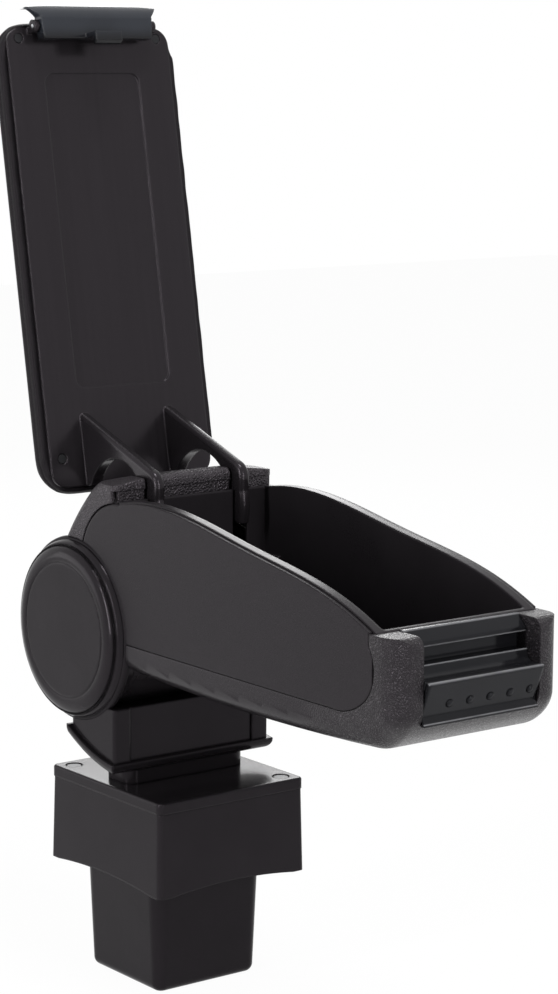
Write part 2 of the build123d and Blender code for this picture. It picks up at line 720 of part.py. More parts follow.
rim_back = cover_front + seam
rim_face = Pos((rim_back + bin_front) / 2, 0) * Rectangle(bin_front - rim_back, 2 * rim_half)
rim = extrude(rim_face, far) & below_rim(0, -far, far)
rim -= below_rim(rim_high, -far, far)
tub = (bin_block(0) & below_rim(rim_high / 2, -far, far)) + rim
tub -= bin_block(bin_wall)
goose_room = goose_wide / 2 + goose_slack
goose_sweep = hypot(*goose_elbow)
notch_low = hinge_z - sqrt(goose_sweep**2 - (rim_back - hinge_x)**2) - goose_slack
for side in sides:
    y = side * goose_middle
    tub -= slab(0, bin_rear, y - goose_room, y + goose_room, notch_low, far)
pieces["bin_liner"] = single(tub)

# Bin screws through the floor into posts on the keel, one group
bin_screws = []
post_high = bin_floor - body_floor
for x in (bin_rear + bin_screw_in, bin_front - bin_screw_in):
    post = Pos(x, 0, body_floor + post_high / 2) * Cylinder(screw_head, post_high)
    drill = Pos(x, 0, bin_floor) * Cylinder(screw_shank + running, 2 * post_high - 2 * skin)
    pieces["arm_frame"] = single(pieces["arm_frame"] + (post & body) - drill)
    pieces["bin_liner"] -= drill
    shank = Pos(x, 0, bin_floor + bin_wall / 2) * Cylinder(screw_shank, post_high)
    head = Pos(x, 0, bin_floor + bin_wall + screw_head_deep / 2) * Cylinder(screw_head, screw_head_deep)
    bin_screws.append(single(shank + head))
pieces["bin_screws"] = Compound(children=bin_screws)

# Rear cover: a domed crown over the drum, with ears that hold the hinge pin
droop_radius = (body_half**2 + cover_droop**2) / (2 * cover_droop)


def crown_round(inset):
    """A long cylinder fore and aft that rounds the cover across its width."""
    face = Pos(0, cover_crown[1] - droop_radius) * Circle(droop_radius - inset)
    return extrude(Plane.YZ.offset(-far) * face, 2 * far)


cover = across(cover_face, seam - body_half, body_half - seam)
ear_edges = cover.edges().filter_by(GeomType.CIRCLE).filter_by(lambda e: (e @ 0.5).Z > cover_start[1])
cover = fillet(ear_edges, cover_ear) & crown_round(0)
hollow_face = offset(cover_face, -cover_skin)
hollow = across(hollow_face, cover_skin - body_half, body_half - cover_skin) & crown_round(cover_skin)
cover -= hollow
cover -= Pos(0, 0, -2 * cover_skin) * hollow
for side in sides:
    near, out = sorted((side * (goose_middle + goose_room), side * (body_half - cover_skin / 2)))
    cover += rod(hinge_x, hinge_z, hinge_knuckle, near, out)
cover += rod(hinge_x, hinge_z, hinge_knuckle, goose_room - goose_middle, goose_middle - goose_room)
for side in sides:
    y = side * goose_middle
    cover -= slab(hinge_x - goose_slot_behind, far, y - goose_room, y + goose_room, cover_low, far)
    cover -= rod(hinge_x, hinge_z, hinge_knuckle + loose, y - goose_room, y + goose_room)
    near, out = sorted((side * (panel_in - loose), side * far))
    cover -= across(offset(zone, seam / 2), near, out)
cover -= disc_room(disc_clear, drum_half)
cover -= rod(hinge_x, hinge_z, hinge_pin + running, cover_skin - body_half, far)
cover -= slab(cover_front - cover_skin - seam, far, -far, far, 0, cover_end[1] - cover_lip)
pieces["rear_cover"] = single(cover)
pieces["lid_hinge_pin"] = rod(hinge_x, hinge_z, hinge_pin, cover_skin - body_half, body_half - loose)

# Front bezel: the wall before the bin, the catch slot, the recess and its end walls
bezel_back = bin_front + loose
bezel_top = rim_end[1] + bezel_step
lip_x, lip_top = from_front((lip_back, lip_rise))
slot_low = pivot_z + slot_rise
recess_floor = pivot_z + recess_rise
grip_top_x = body_front + grip_top_ahead
grip_low_x = body_front - grip_low_back
shelf_top_x = grip_top_x - grip_thick - seam
shelf_low_x = grip_low_x - grip_thick - seam
bezel_face = polygon(
    (bezel_back, bezel_floor),
    (bezel_back, bezel_top),
    (bezel_back + skin, bezel_top),
    (lip_x, lip_top),
    (lip_x, lip_top - lip_thick),
    (lip_x - slot_deep, lip_top - lip_thick),
    (lip_x - slot_deep, slot_low),
    (lip_x + cove_top, slot_low),
    (lip_x + cove / 2, recess_floor + cove_top),
    (lip_x + cove, recess_floor),
    (shelf_top_x, recess_floor),
    (shelf_low_x, bezel_floor))
bezel = across(bezel_face, -bezel_half, bezel_half)
core = polygon(
    (bezel_back + skin, 0),
    (bezel_back + skin, slot_low - skin),
    (lip_x, slot_low - skin),
    (lip_x + cove_top, recess_floor - skin),
    (shelf_top_x - 2 * skin, recess_floor - skin),
    (shelf_low_x - skin, bezel_floor),
    (shelf_low_x - skin, 0))
bezel -= across(core, skin - bezel_half, bezel_half - skin)
pieces["front_bezel"] = single(bezel)

# Grip panel: the leaning panel under the recess, with raised dots
grip_half = bezel_half - seam
grip_face = polygon((grip_low_x - grip_thick, bezel_floor), (grip_low_x, bezel_floor),
                    (grip_top_x, recess_floor), (grip_top_x - grip_thick, recess_floor))
grip = across(grip_face, -grip_half, grip_half)
grip = fillet(grip.edges().filter_by(Axis.Y).sort_by(Axis.X)[-1], grip_edge)
grip_lean = (grip_top_x - grip_low_x) / (recess_floor - bezel_floor)
dot = Rot(0, 90 - degrees(atan(grip_lean)), 0) * Cone(dot_radius, dot_radius - dot_proud, 2 * dot_proud)
for i in range(dot_count):
    y = dot_middle + (i - (dot_count - 1) / 2) * dot_pitch
    grip += Pos(grip_low_x + grip_lean * dot_height, y, bezel_floor + dot_height) * dot
pieces["grip_panel"] = single(grip)

# Lid: inner panel with goosenecks, drawn along the lid and away from the bin


def lid_plan(margin, corner):
    """The lid's outline in plan, shrunk by a margin."""
    long = lid_front - lid_rear - 2 * margin
    return Pos((lid_rear + lid_front) / 2, 0) * RectangleRounded(long, 2 * (lid_half - margin), corner)


panel_plan = lid_plan(panel_margin, lid_corner - panel_margin)
lid_panel = extrude(Pos(0, 0, lid_plane) * panel_plan, panel_thick)
tray_rear = lid_rear + tray_behind
tray_front = lid_front - tray_ahead
tray = Pos((tray_rear + tray_front) / 2, 0, lid_plane) * RectangleRounded(
    tray_front - tray_rear, 2 * tray_half, tray_corner)
lid_panel -= extrude(tray, tray_deep)
hook_low = on_circle(0, 0, goose_outer, goose_leg_to)
hook_bend = on_circle(0, 0, goose_outer, (goose_leg_to + goose_hook_angle) / 2)
hook_top = on_circle(0, 0, goose_outer, goose_hook_angle)
eye_low = on_circle(0, 0, goose_inner, goose_leg_from)
eye_bend = on_circle(0, 0, goose_inner, (goose_leg_from + goose_eye_angle) / 2)
eye_high = on_circle(0, 0, goose_inner, goose_eye_angle)
root = lid_plane + skin / 2
web_face = make_face([
    Line((goose_foot, root), (goose_foot, lid_plane)),
    Line((goose_foot, lid_plane), goose_elbow),
    Line(goose_elbow, hook_top),
    ThreePointArc(hook_top, hook_bend, hook_low),
    Line(hook_low, (0, 0)),
    Line((0, 0), eye_low),
    ThreePointArc(eye_low, eye_bend, eye_high),
    Line(eye_high, (eye_high[0], root)),
    Line((eye_high[0], root), (goose_foot, root)),
])
elbow = web_face.vertices().sort_by_distance((goose_elbow[0], goose_elbow[1], 0))[0]
web_face = fillet(elbow, goose_bend)
for side in sides:
    y = side * goose_middle
    web = across(web_face, y - goose_wide / 2, y + goose_wide / 2)
    front = web.edges().filter_by(lambda e: abs((e @ 0.5).Y - y) > goose_wide / 4)
    front = front.filter_by(lambda e: hypot((e @ 0.5).X, (e @ 0.5).Z) > goose_inner + goose_round)
    front = front.filter_by(lambda e: (e @ 0.5).Z < lid_plane - goose_round)
    web = fillet(front, goose_round)
    web += rod(0, 0, hinge_knuckle, y - goose_wide / 2, y + goose_wide / 2)
    lid_panel += web
lid_panel -= rod(0, 0, hinge_pin + running, -far, far)

# Latch ears on the panel, which hold the latch pin
latch_pin_s = lid_front - latch_pin_in
latch_pin_n = lid_plane - latch_pin_drop
for side in sides:
    near, out = sorted((side * (latch_waist + loose), side * (latch_waist + loose + ear_wide)))
    ear = slab(latch_pin_s - ear_reach, lid_front - panel_margin, near, out, latch_pin_n, root)
    lid_panel += ear + rod(latch_pin_s, latch_pin_n, ear_reach, near, out)
lid_panel -= rod(latch_pin_s, latch_pin_n, latch_pin_radius, -far, far)

# Lid screws, one group, and their holes in the panel
lid_screw_y = lid_half - lid_screw_side
lid_screw_places = [(s, side * lid_screw_y)
                    for s in (lid_rear + 2 * lid_screw_in, lid_front - lid_screw_in) for side in sides]
head_high = tray_deep - loose / 2
lid_screws = []
for s, y in lid_screw_places:
    lid_panel -= Pos(s, y, lid_plane) * Cylinder(screw_shank + running, far)
    lid_panel -= Pos(s, y, lid_plane) * Cylinder(lid_screw_head + loose, 2 * tray_deep)
    shank = Pos(s, y, lid_plane + tray_deep + lid_screw_long / 2) * Cylinder(screw_shank, lid_screw_long)
    head = Pos(s, y, lid_plane + tray_deep - head_high / 2) * Cylinder(lid_screw_head, head_high)
    lid_screws.append(single(shank + head))
lid_at_rest = lid_place(lid_open)
pieces["lid_panel"] = lid_at_rest * single(lid_panel)

# Lid cushion: a soft pad that wraps the panel's back and edges
pad_low = lid_plane + seam
cushion = extrude(Pos(0, 0, pad_low) * lid_plan(0, lid_corner), pad_thick)
cushion = fillet(cushion.edges().group_by(Axis.Z)[-1], pad_round)
cushion -= extrude(Pos(0, 0, pad_low) * lid_plan(panel_margin - loose, lid_corner - panel_margin + loose),
                   panel_thick + loose - seam)
for s, y in lid_screw_places:
    hole_deep = tray_deep + lid_screw_long + seam
    cushion -= Pos(s, y, lid_plane + hole_deep / 2) * Cylinder(screw_shank + running, hole_deep)
pieces["lid_cushion"] = lid_at_rest * single(cushion)
pieces["lid_screws"] = lid_at_rest * Compound(children=lid_screws)

# Latch: a bent handle on a pin, with a tooth that reaches into the catch slot
latch_low = lid_plane - latch_drop
latch_end = lid_front + latch_over
lever_top = lid_plane + latch_rise
block_top = latch_pin_n + latch_block_top
block_in = latch_pin_s - latch_block_in
block_out = latch_pin_s + latch_block_out
block = polygon((block_in, block_top), (block_in, latch_low), (block_out, latch_low), (block_out, block_top))
block = fillet(block.vertices().sort_by(Axis.Y)[:2].sort_by(Axis.X)[0], latch_round)
lever = make_face([
    ThreePointArc((block_out, latch_low), (latch_end - latch_curl[0], latch_low + latch_curl[1]),
                  (latch_end, lever_top)),
    Line((latch_end, lever_top), (latch_end - skin, lever_top)),
    ThreePointArc((latch_end - skin, lever_top), (latch_end - latch_curl_in[0], latch_low + latch_curl_in[1]),
                  (block_out, block_top)),
    Line((block_out, block_top), (block_out, latch_low)),
])
latch = across(block + lever, -latch_half, latch_half)
bow = ThreePointArc((latch_end - latch_bow, -latch_half), (latch_end, 0), (latch_end - latch_bow, latch_half))
bow_plan = make_face([
    bow,
    *Polyline((latch_end - latch_bow, latch_half), (lid_front, latch_waist), (block_in, latch_foot),
              (0, latch_foot), (0, -latch_foot), (block_in, -latch_foot), (lid_front, -latch_waist),
              (latch_end - latch_bow, -latch_half)).edges(),
])
latch &= extrude(bow_plan, far)
tooth_tip = lid_front - tooth_back
tooth_low = lid_plane - tooth_drop
tooth_high = tooth_low + tooth_thick
tooth_face = polygon(
    (block_in, latch_low + skin),
    (block_in, tooth_high),
    (tooth_tip, tooth_high),
    (tooth_tip + tooth_lead, tooth_low),
    (block_in + skin, tooth_low),
    (block_in + skin, latch_low + skin))
latch += across(tooth_face, -tooth_half, tooth_half)
pocket = spring_radius + spring_room
pocket_from = tooth_half + spring_room
pocket_to = pocket_from + spring_long + 4 * spring_room
latch -= slab(latch_pin_s - pocket, latch_pin_s + pocket, pocket_from, pocket_to, latch_pin_n - pocket, far)
latch -= rod(latch_pin_s, latch_pin_n, latch_pin_radius + running, -far, far)
pieces["latch_handle"] = lid_at_rest * single(latch)
pin_half = latch_waist + loose + ear_wide
latch_pin = rod(latch_pin_s, latch_pin_n, latch_pin_radius - running, -pin_half, pin_half)
pieces["latch_pin"] = lid_at_rest * latch_pin

# Latch spring: a short coil round the pin
coil_path = Helix(spring_long / spring_turns, spring_long, spring_radius)
wire = Plane(origin=coil_path @ 0, z_dir=coil_path % 0) * RegularPolygon(spring_wire, 6)
coil = sweep(wire, path=coil_path, is_frenet=True)
coil = Pos(latch_pin_s, pocket_from + 2 * spring_room, latch_pin_n) * Rot(-90, 0, 0) * coil
pieces["latch_spring"] = lid_at_rest * coil

os.makedirs("parts", exist_ok=True)
for name, piece in pieces.items():
    export_step(piece, f"parts/{name}.step")
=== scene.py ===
import math

import bpy
from mathutils import Matrix, Vector, noise


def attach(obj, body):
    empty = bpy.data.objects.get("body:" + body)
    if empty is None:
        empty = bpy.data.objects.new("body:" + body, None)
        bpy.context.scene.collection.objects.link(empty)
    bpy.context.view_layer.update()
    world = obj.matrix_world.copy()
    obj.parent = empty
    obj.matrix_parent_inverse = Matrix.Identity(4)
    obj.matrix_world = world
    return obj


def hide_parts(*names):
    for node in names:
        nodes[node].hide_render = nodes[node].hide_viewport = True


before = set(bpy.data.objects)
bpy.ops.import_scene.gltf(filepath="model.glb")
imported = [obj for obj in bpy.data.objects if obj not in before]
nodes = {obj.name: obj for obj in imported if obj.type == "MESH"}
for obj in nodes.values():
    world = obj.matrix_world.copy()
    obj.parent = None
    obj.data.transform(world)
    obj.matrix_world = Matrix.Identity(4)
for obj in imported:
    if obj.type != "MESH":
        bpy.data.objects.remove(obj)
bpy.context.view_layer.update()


# Console plug: the tapered square foot that drops into the car's console.
# Injection-moulded black polypropylene with a fine spark-eroded skin.
class Wire:
    """A socket in a finish's node tree. Sums on wires add the nodes that work them out."""

    def __init__(self, tree, socket=None):
        self.tree = tree
        self.socket = socket

    def node(self, kind, settings, sockets, out=0):
        """Adds a node of a type, makes its settings, fills or links its sockets and gives one output."""
        made = self.tree.nodes.new(kind)
        for name, value in settings.items():
            setattr(made, name, value)
        for name, value in sockets.items():
            if isinstance(value, Wire):
                self.tree.links.new(value.socket, made.inputs[name])
            else:
                made.inputs[name].default_value = value
        return Wire(self.tree, made.outputs[out] if made.outputs else None)

    def sum(self, operation, first, second=0.0):
        return self.node("ShaderNodeMath", {"operation": operation}, {0: first, 1: second})

    def __add__(self, other):
        return self.sum("ADD", self, other)

    __radd__ = __add__

    def __sub__(self, other):
        return self.sum("SUBTRACT", self, other)

    def __rsub__(self, other):
        return self.sum("SUBTRACT", other, self)

    def __mul__(self, other):
        return self.sum("MULTIPLY", self, other)

    __rmul__ = __mul__

    def __truediv__(self, other):
        return self.sum("DIVIDE", self, other)

    def __abs__(self):
        return self.sum("ABSOLUTE", self)

    def between(self, low, high):
        """0 below low, 1 above high, smooth in the middle."""
        return self.node("ShaderNodeMapRange", {"interpolation_type": "SMOOTHSTEP"},
                         {"Value": self, "From Min": low, "From Max": high})

    def spot(self):
        """The place on the piece, in metres."""
        return self.node("ShaderNodeTexCoord", {}, {}, "Object")

    def along(self, axis):
        """The place on the piece along the X, Y or Z axis, in metres."""
        return self.node("ShaderNodeSeparateXYZ", {}, {"Vector": self.spot()}, axis)

    def speckle(self, size, detail=2.0):
        """Cloudy variation from 0 to 1, in patches of about a size in metres."""
        return self.node("ShaderNodeTexNoise", {},
                         {"Vector": self.spot(), "Scale": 1 / size, "Detail": detail})

    def streak(self, sizes):
        """Cloudy variation drawn out by a size in metres along each axis."""
        drawn = self.node("ShaderNodeMapping", {},
                          {"Vector": self.spot(), "Scale": [1 / size for size in sizes]})
        return self.node("ShaderNodeTexNoise", {}, {"Vector": drawn, "Scale": 1.0, "Detail": 3.0})

    def pebble(self, size):
        """Cells of about a size in metres: 0 on their edges and up to 1 in the middle."""
        cell = self.node("ShaderNodeTexVoronoi", {"feature": "DISTANCE_TO_EDGE"},
                         {"Vector": self.spot(), "Scale": 1 / size, "Randomness": 0.9})
        return cell.between(0.0, 0.35)

    def tint(self, factor, dark, light):
        """A colour between two."""
        return self.node("ShaderNodeMix", {"data_type": "RGBA"},
                         {"Factor": factor, "A": (*dark, 1), "B": (*light, 1)}, 2)

    def relief(self, height, depth, strength, edge):
        """A normal with a raised pattern, on edges that look rounded by a radius."""
        soft = self.node("ShaderNodeBevel", {"samples": 6}, {"Radius": edge})
        return self.node("ShaderNodeBump", {},
                         {"Height": height, "Distance": depth, "Strength": strength, "Normal": soft})


def new_finish(name):
    """A material with an empty tree, and the wire that its nodes are added to."""
    finish = bpy.data.materials.new(name)
    finish.use_nodes = True
    finish.node_tree.nodes.clear()
    return finish, Wire(finish.node_tree)


def close_finish(wire, **sockets):
    """Adds the surface shader, with its sockets named as words joined by a low line, and the output."""
    named = {name.replace("_", " "): value for name, value in sockets.items()}
    shader = wire.node("ShaderNodeBsdfPrincipled", {}, named)
    wire.node("ShaderNodeOutputMaterial", {}, {"Surface": shader})


plum = (1.0, 0.9, 1.0, 1)    # the faint plum cast of the black plastics


def moulded(name, shade, gloss, rough, edge=0.0008):
    """Moulded plastic or rubber with a fine even texture and slight flow clouds."""
    finish, wire = new_finish(name)
    clouds = wire.speckle(0.03)
    fine = wire.speckle(0.00045)
    dark = [0.8 * c for c in shade]
    light = [1.2 * c for c in shade]
    close_finish(wire,
                 Base_Color=wire.tint(clouds, dark, light),
                 Roughness=rough + 0.1 * (clouds - 0.5) + 0.08 * (fine - 0.5),
                 Specular_IOR_Level=gloss,
                 Specular_Tint=plum,
                 Normal=wire.relief(fine, 0.00004, 0.2, edge))
    return finish


def dress(finish, *names):
    """Gives a finish to nodes of the frame."""
    for name in names:
        for slot in nodes[name].material_slots:
            slot.material = finish


plug_plastic = moulded("plug_plastic", (0.0105, 0.0092, 0.0105), 0.1, 0.14, 0.002)
dress(plug_plastic, "console_plug")

# Skirt and cap: the square cover that hides the console's opening, with a plate on top.
# Same black plastic as the plug. Two blackened screws hold the plate, and a zinc-plated bolt the dish.
skirt_plastic = moulded("skirt_plastic", (0.0125, 0.011, 0.0125), 0.11, 0.2, 0.0015)
dress(skirt_plastic, "console_skirt", "skirt_cap")


def plated(name, shade, rough):
    """Plated steel with a faint turned grain."""
    finish, wire = new_finish(name)
    grain = wire.speckle(0.0006, 4.0)
    clouds = wire.speckle(0.006)
    dark = [0.8 * c for c in shade]
    close_finish(wire,
                 Base_Color=wire.tint(clouds, dark, shade),
                 Metallic=1.0,
                 Roughness=rough + 0.15 * (grain - 0.5),
                 Normal=wire.relief(grain, 0.00004, 0.3, 0.0003))
    return finish


black_steel = plated("black_steel", (0.03, 0.03, 0.032), 0.4)
zinc_steel = plated("zinc_steel", (0.55, 0.56, 0.58), 0.32)
dress(black_steel, "cap_screws")
dress(zinc_steel, "clamp_bolt", "clamp_washer", "clamp_nut")

# Rocker foot and neck: a curved dish clamped to the cap, and two cheeks with panels between them.
# Glass-filled black nylon, moulded, screwed together from below.
neck_plastic = moulded("neck_plastic", (0.0105, 0.0092, 0.0105), 0.11, 0.15, 0.002)
dress(neck_plastic, "rocker_foot", "left_neck_cheek", "right_neck_cheek")
dress(neck_plastic, "neck_front_panel", "neck_rear_panel")
dress(black_steel, "neck_screws")

# Tilt pivot: a blackened steel axle in plastic bushes, with fibre washers that give the tilt its drag.
# Domed plastic discs clip over its ends.
disc_plastic = moulded("disc_plastic", (0.0115, 0.0101, 0.0115), 0.13, 0.13, 0.002)
dress(disc_plastic, "left_end_disc", "right_end_disc")
dress(black_steel, "tilt_axle", "axle_nut", "tilt_stop_pin")
bush_plastic = moulded("bush_plastic", (0.42, 0.4, 0.34), 0.4, 0.4)
dress(bush_plastic, "axle_bushes")
washer_fibre = moulded("washer_fibre", (0.16, 0.09, 0.05), 0.2, 0.75)
dress(washer_fibre, "friction_washers")

# Dust rings: soft seals behind the discs, which close the gap to the turning arm.
# Black rubber rings, pressed on round the bearings.
tilt_axis = Vector((-0.0204, 0, 0.206))
ring_out = 0.0524       # middle of a ring, from the arm's middle
ring_radius = 0.0505
ring_thick = 0.0053


def spread(piece, shifts):
    """Named copies of a piece, each with its own mesh moved by its shift, in place of the piece."""
    copies = []
    for name, shift in shifts.items():
        copy = bpy.data.objects.new(name, piece.data.copy())
        copy.data.transform(Matrix.Translation(shift))
        bpy.context.scene.collection.objects.link(copy)
        copies.append(copy)
    bpy.data.objects.remove(piece)
    return copies


bpy.ops.object.select_all(action="DESELECT")
bpy.ops.mesh.primitive_torus_add(
    major_radius=ring_radius, minor_radius=ring_thick / 2, major_segments=96, minor_segments=12,
    rotation=(math.pi / 2, 0, 0))
bpy.ops.object.transform_apply()
bpy.ops.object.shade_smooth()
ring_rubber = moulded("ring_rubber", (0.009, 0.0079, 0.009), 0.1, 0.5)
ring_shifts = {"left_dust_ring": tilt_axis + Vector((0, ring_out, 0)),
               "right_dust_ring": tilt_axis - Vector((0, ring_out, 0))}
for ring in spread(bpy.context.object, ring_shifts):
    ring.data.materials.append(ring_rubber)
    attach(ring, "base")

# Arm frame: the keel with the front corners and the drum, the arm's structure.
# Black plastic moulded in a tool that is etched with a leather grain at the front,
# where the grain sparkles on the corners and the chin.
frame_grain, wire = new_finish("frame_grain")
front = wire.along("X").between(0.185, 0.24)    # the grain fades out along the smooth keel
chin = wire.along("X").between(0.25, 0.262) * (1 - wire.along("Z").between(0.2, 0.21))
clouds = wire.speckle(0.025)
cells = wire.pebble(0.0016)
pores = wire.speckle(0.0004)
close_finish(wire,
             Base_Color=wire.tint(0.6 * cells + 0.4 * clouds,
                                  (0.0095, 0.0084, 0.0095), (0.0145, 0.0128, 0.0145)),
             Roughness=0.26 + 0.1 * front * (1 - cells) + 0.08 * (clouds - 0.5),
             Specular_IOR_Level=0.2,
             Specular_Tint=plum,
             Coat_Weight=0.3 * front * cells + 0.7 * chin,
             Coat_Roughness=0.15,
             Normal=wire.relief((cells + 0.3 * pores) * (0.08 + 0.92 * front), 0.0006, 0.6, 0.0015))
dress(frame_grain, "arm_frame")


# Side panels: smooth vinyl-covered boards along both sides of the arm.
# A fine soft grain, glued and tucked under the bin's rim.
def grained(name, shade, gloss, rough, cell, depth):
    """Black plastic or vinyl with a leather grain of pebbles and fine pores."""
    finish, wire = new_finish(name)
    clouds = wire.speckle(0.025)
    cells = wire.pebble(cell)
    pores = wire.speckle(cell / 4)
    dark = [0.75 * c for c in shade]
    light = [1.1 * c for c in shade]
    close_finish(wire,
                 Base_Color=wire.tint(0.6 * cells + 0.4 * clouds, dark, light),
                 Roughness=rough + 0.12 * (1 - cells) + 0.08 * (clouds - 0.5),
                 Specular_IOR_Level=gloss,
                 Specular_Tint=plum,
                 Normal=wire.relief(cells + 0.3 * pores, depth, 0.6, 0.0015))
    return finish


panel_vinyl = grained("panel_vinyl", (0.0135, 0.0119, 0.0135), 0.13, 0.27, 0.0007, 0.00005)
dress(panel_vinyl, "left_side_panel", "right_side_panel")

# Bin: a deep tub for small things, dropped in between the panels.
# Satin black plastic, screwed through the floor.
bin_plastic = moulded("bin_plastic", (0.013, 0.0115, 0.013), 0.14, 0.3, 0.0018)
dress(bin_plastic, "bin_liner")
dress(black_steel, "bin_screws")

# Crown and apron: the domed cover behind the bin, and three tabs from its front edge down to the bin.
# Moulded in the grained plastic of the front corners. The gaps between the tabs clear the goosenecks.
crown_grain = grained("crown_grain", (0.0135, 0.0119, 0.0135), 0.4, 0.3, 0.0016, 0.0006)
dress(crown_grain, "rear_cover")


def block(name, low, high):
    """A new box between two corners."""
    bpy.ops.object.select_all(action="DESELECT")
    bpy.ops.mesh.primitive_cube_add(size=1, location=(low + high) / 2)
    piece = bpy.context.object
    piece.name = name
    piece.scale = high - low
    bpy.ops.object.transform_apply()
    return piece


def pick(piece, kind, test):
    """Selects the edges or faces of a piece whose middle and direction pass a test, in edit mode."""
    bpy.ops.object.mode_set(mode="OBJECT")
    mesh = piece.data
    for group in (mesh.vertices, mesh.edges, mesh.polygons):
        group.foreach_set("select", [False] * len(group))
    bpy.context.tool_settings.mesh_select_mode = (False, kind == "edges", kind == "faces")
    if kind == "edges":
        for edge in mesh.edges:
            start, end = (mesh.vertices[i].co for i in edge.vertices)
            edge.select = test((start + end) / 2, end - start)
    else:
        for face in mesh.polygons:
            face.select = test(face.center, face.normal)
    bpy.ops.object.mode_set(mode="EDIT")


apron_rear, apron_front = 0.0192, 0.0217
apron_low, apron_high = 0.2815, 0.2906
apron_half = 0.052
slot_near, slot_far = 0.0238, 0.0348    # sides of a gooseneck's slot, from the arm's middle
apron_spans = {"right_apron": (-apron_half, -slot_far),
               "middle_apron": (-slot_near, slot_near),
               "left_apron": (slot_far, apron_half)}
for name, (start_y, end_y) in apron_spans.items():
    tab = block(name, Vector((apron_rear, start_y, apron_low)), Vector((apron_front, end_y, apron_high)))
    pick(tab, "edges", lambda middle, run: middle.z < apron_low + 0.001)
    bpy.ops.mesh.bevel(offset=0.0006, segments=3)
    bpy.ops.object.mode_set(mode="OBJECT")
    bpy.ops.object.shade_smooth_by_angle(angle=math.radians(40))
    tab.data.materials.append(crown_grain)
    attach(tab, "arm")

# Front bezel and grip: the catch wall, the finger recess and the leaning panel below it.
# Polished black plastic with a bluish depth, and pale lines painted along its edges as painted
# highlights.
sill_foot = Vector((0.2677, 0, 0.2047))
gloss_black, wire = new_finish("gloss_black")
clouds = wire.speckle(0.02)
ripple = wire.speckle(0.004)
# Painted highlights: pale lines painted into the colour along the bezel's edges, where light would catch
# them.
painted_highlights = 0.0
for edge_x, edge_z, wide in ((0.251, 0.2496, 0.0013),     # top of the catch wall
                             (0.257, 0.2412, 0.0009),     # lip over the catch slot
                             (0.2585, 0.2325, 0.0009),    # floor of the catch slot
                             (0.2712, 0.2265, 0.0016),    # top of the grip panel
                             (sill_foot.x, sill_foot.z, 0.0006)):
    aside = wire.along("X") - edge_x
    above = wire.along("Z") - edge_z
    off = wire.sum("SQRT", aside * aside + above * above)
    painted_highlights = painted_highlights + (1 - off.between(0.2 * wide, wide))
# The pale edge lines in the base colour are painted highlights.
close_finish(wire,
             Base_Color=wire.tint(0.02 * clouds + (0.35 + 0.8 * clouds) * painted_highlights,
                                  (0.006, 0.006, 0.0072), (0.2, 0.2, 0.21)),
             Roughness=0.13 + 0.06 * (clouds - 0.5),
             Specular_IOR_Level=0.16,
             Specular_Tint=(0.92, 0.94, 1.0, 1),
             Normal=wire.relief(ripple, 0.00006, 0.3, 0.0018))
dress(gloss_black, "front_bezel", "grip_panel")

# Grip studs: five low domes in a row on the leaning panel, which give the fingers hold.
# Moulded with the panel in the same polished plastic.
grip_low = Vector((0.264, 0, 0.205))
grip_top = Vector((0.2725, 0, 0.2265))
grip_rise = (grip_top - grip_low).normalized()
grip_turn = math.atan2(grip_rise.z, -grip_rise.x)
stud_count = 5
stud_pitch = 0.0134
stud_middle = 0.0055    # middle of the row, left of the arm's middle
stud_wide = 0.0048
stud_proud = 0.0013
stud_sunk = 0.0002
stud_place = grip_low + grip_rise * 0.0094
bpy.ops.object.select_all(action="DESELECT")
bpy.ops.mesh.primitive_uv_sphere_add(segments=20, ring_count=12, radius=1)
stud = bpy.context.object
stud.scale = (stud_wide / 2, stud_wide / 2, stud_proud)
bpy.ops.object.transform_apply()
bpy.ops.object.mode_set(mode="EDIT")
bpy.ops.mesh.select_all(action="SELECT")
bpy.ops.mesh.bisect(plane_co=(0, 0, -stud_sunk), plane_no=(0, 0, 1), clear_inner=True, use_fill=True)
bpy.ops.object.mode_set(mode="OBJECT")
bpy.ops.object.shade_smooth_by_angle(angle=math.radians(50))
stud.data.transform(Matrix.Translation(stud_place) @ Matrix.Rotation(grip_turn, 4, "Y"))
stud_shifts = {f"grip_stud_{i + 1}": Vector((0, stud_middle + stud_pitch * (i - (stud_count - 1) / 2), 0))
               for i in range(stud_count)}
for copy in spread(stud, stud_shifts):
    copy.data.materials.append(gloss_black)
    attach(copy, "arm")

# Sill: the slanted fillet that closes the keel up to the grip panel's foot.
# Polished like the panel and welded to it.
sill_half = 0.0378
sill = block("grip_sill", Vector((0.2636, -sill_half, 0.2035)), Vector((0.2679, sill_half, 0.2086)))
bpy.ops.object.mode_set(mode="EDIT")
bpy.ops.mesh.select_all(action="SELECT")
bpy.ops.mesh.bisect(plane_co=sill_foot, plane_no=(0.82, 0, 0.57), clear_outer=True, use_fill=True)
bpy.ops.object.mode_set(mode="OBJECT")
sill.data.materials.append(gloss_black)
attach(sill, "arm")

# Lid: the stiff inner panel with its goosenecks, one satin moulding with faint flow lines.
# It turns on a blackened pin in the crown, and small screws in its corners hold the cushion.
lid_plastic, wire = new_finish("lid_plastic")
flow = wire.streak((0.05, 0.003, 0.12))
fine = wire.speckle(0.00045)
close_finish(wire,
             Base_Color=wire.tint(flow, (0.0085, 0.0074, 0.0085), (0.0125, 0.011, 0.0125)),
             Roughness=0.17 + 0.08 * flow + 0.06 * (fine - 0.5),
             Specular_IOR_Level=0.2,
             Specular_Tint=plum,
             Normal=wire.relief(flow + 0.2 * fine, 0.0002, 0.25, 0.0015))
dress(lid_plastic, "lid_panel")
dress(black_steel, "lid_hinge_pin", "lid_screws")

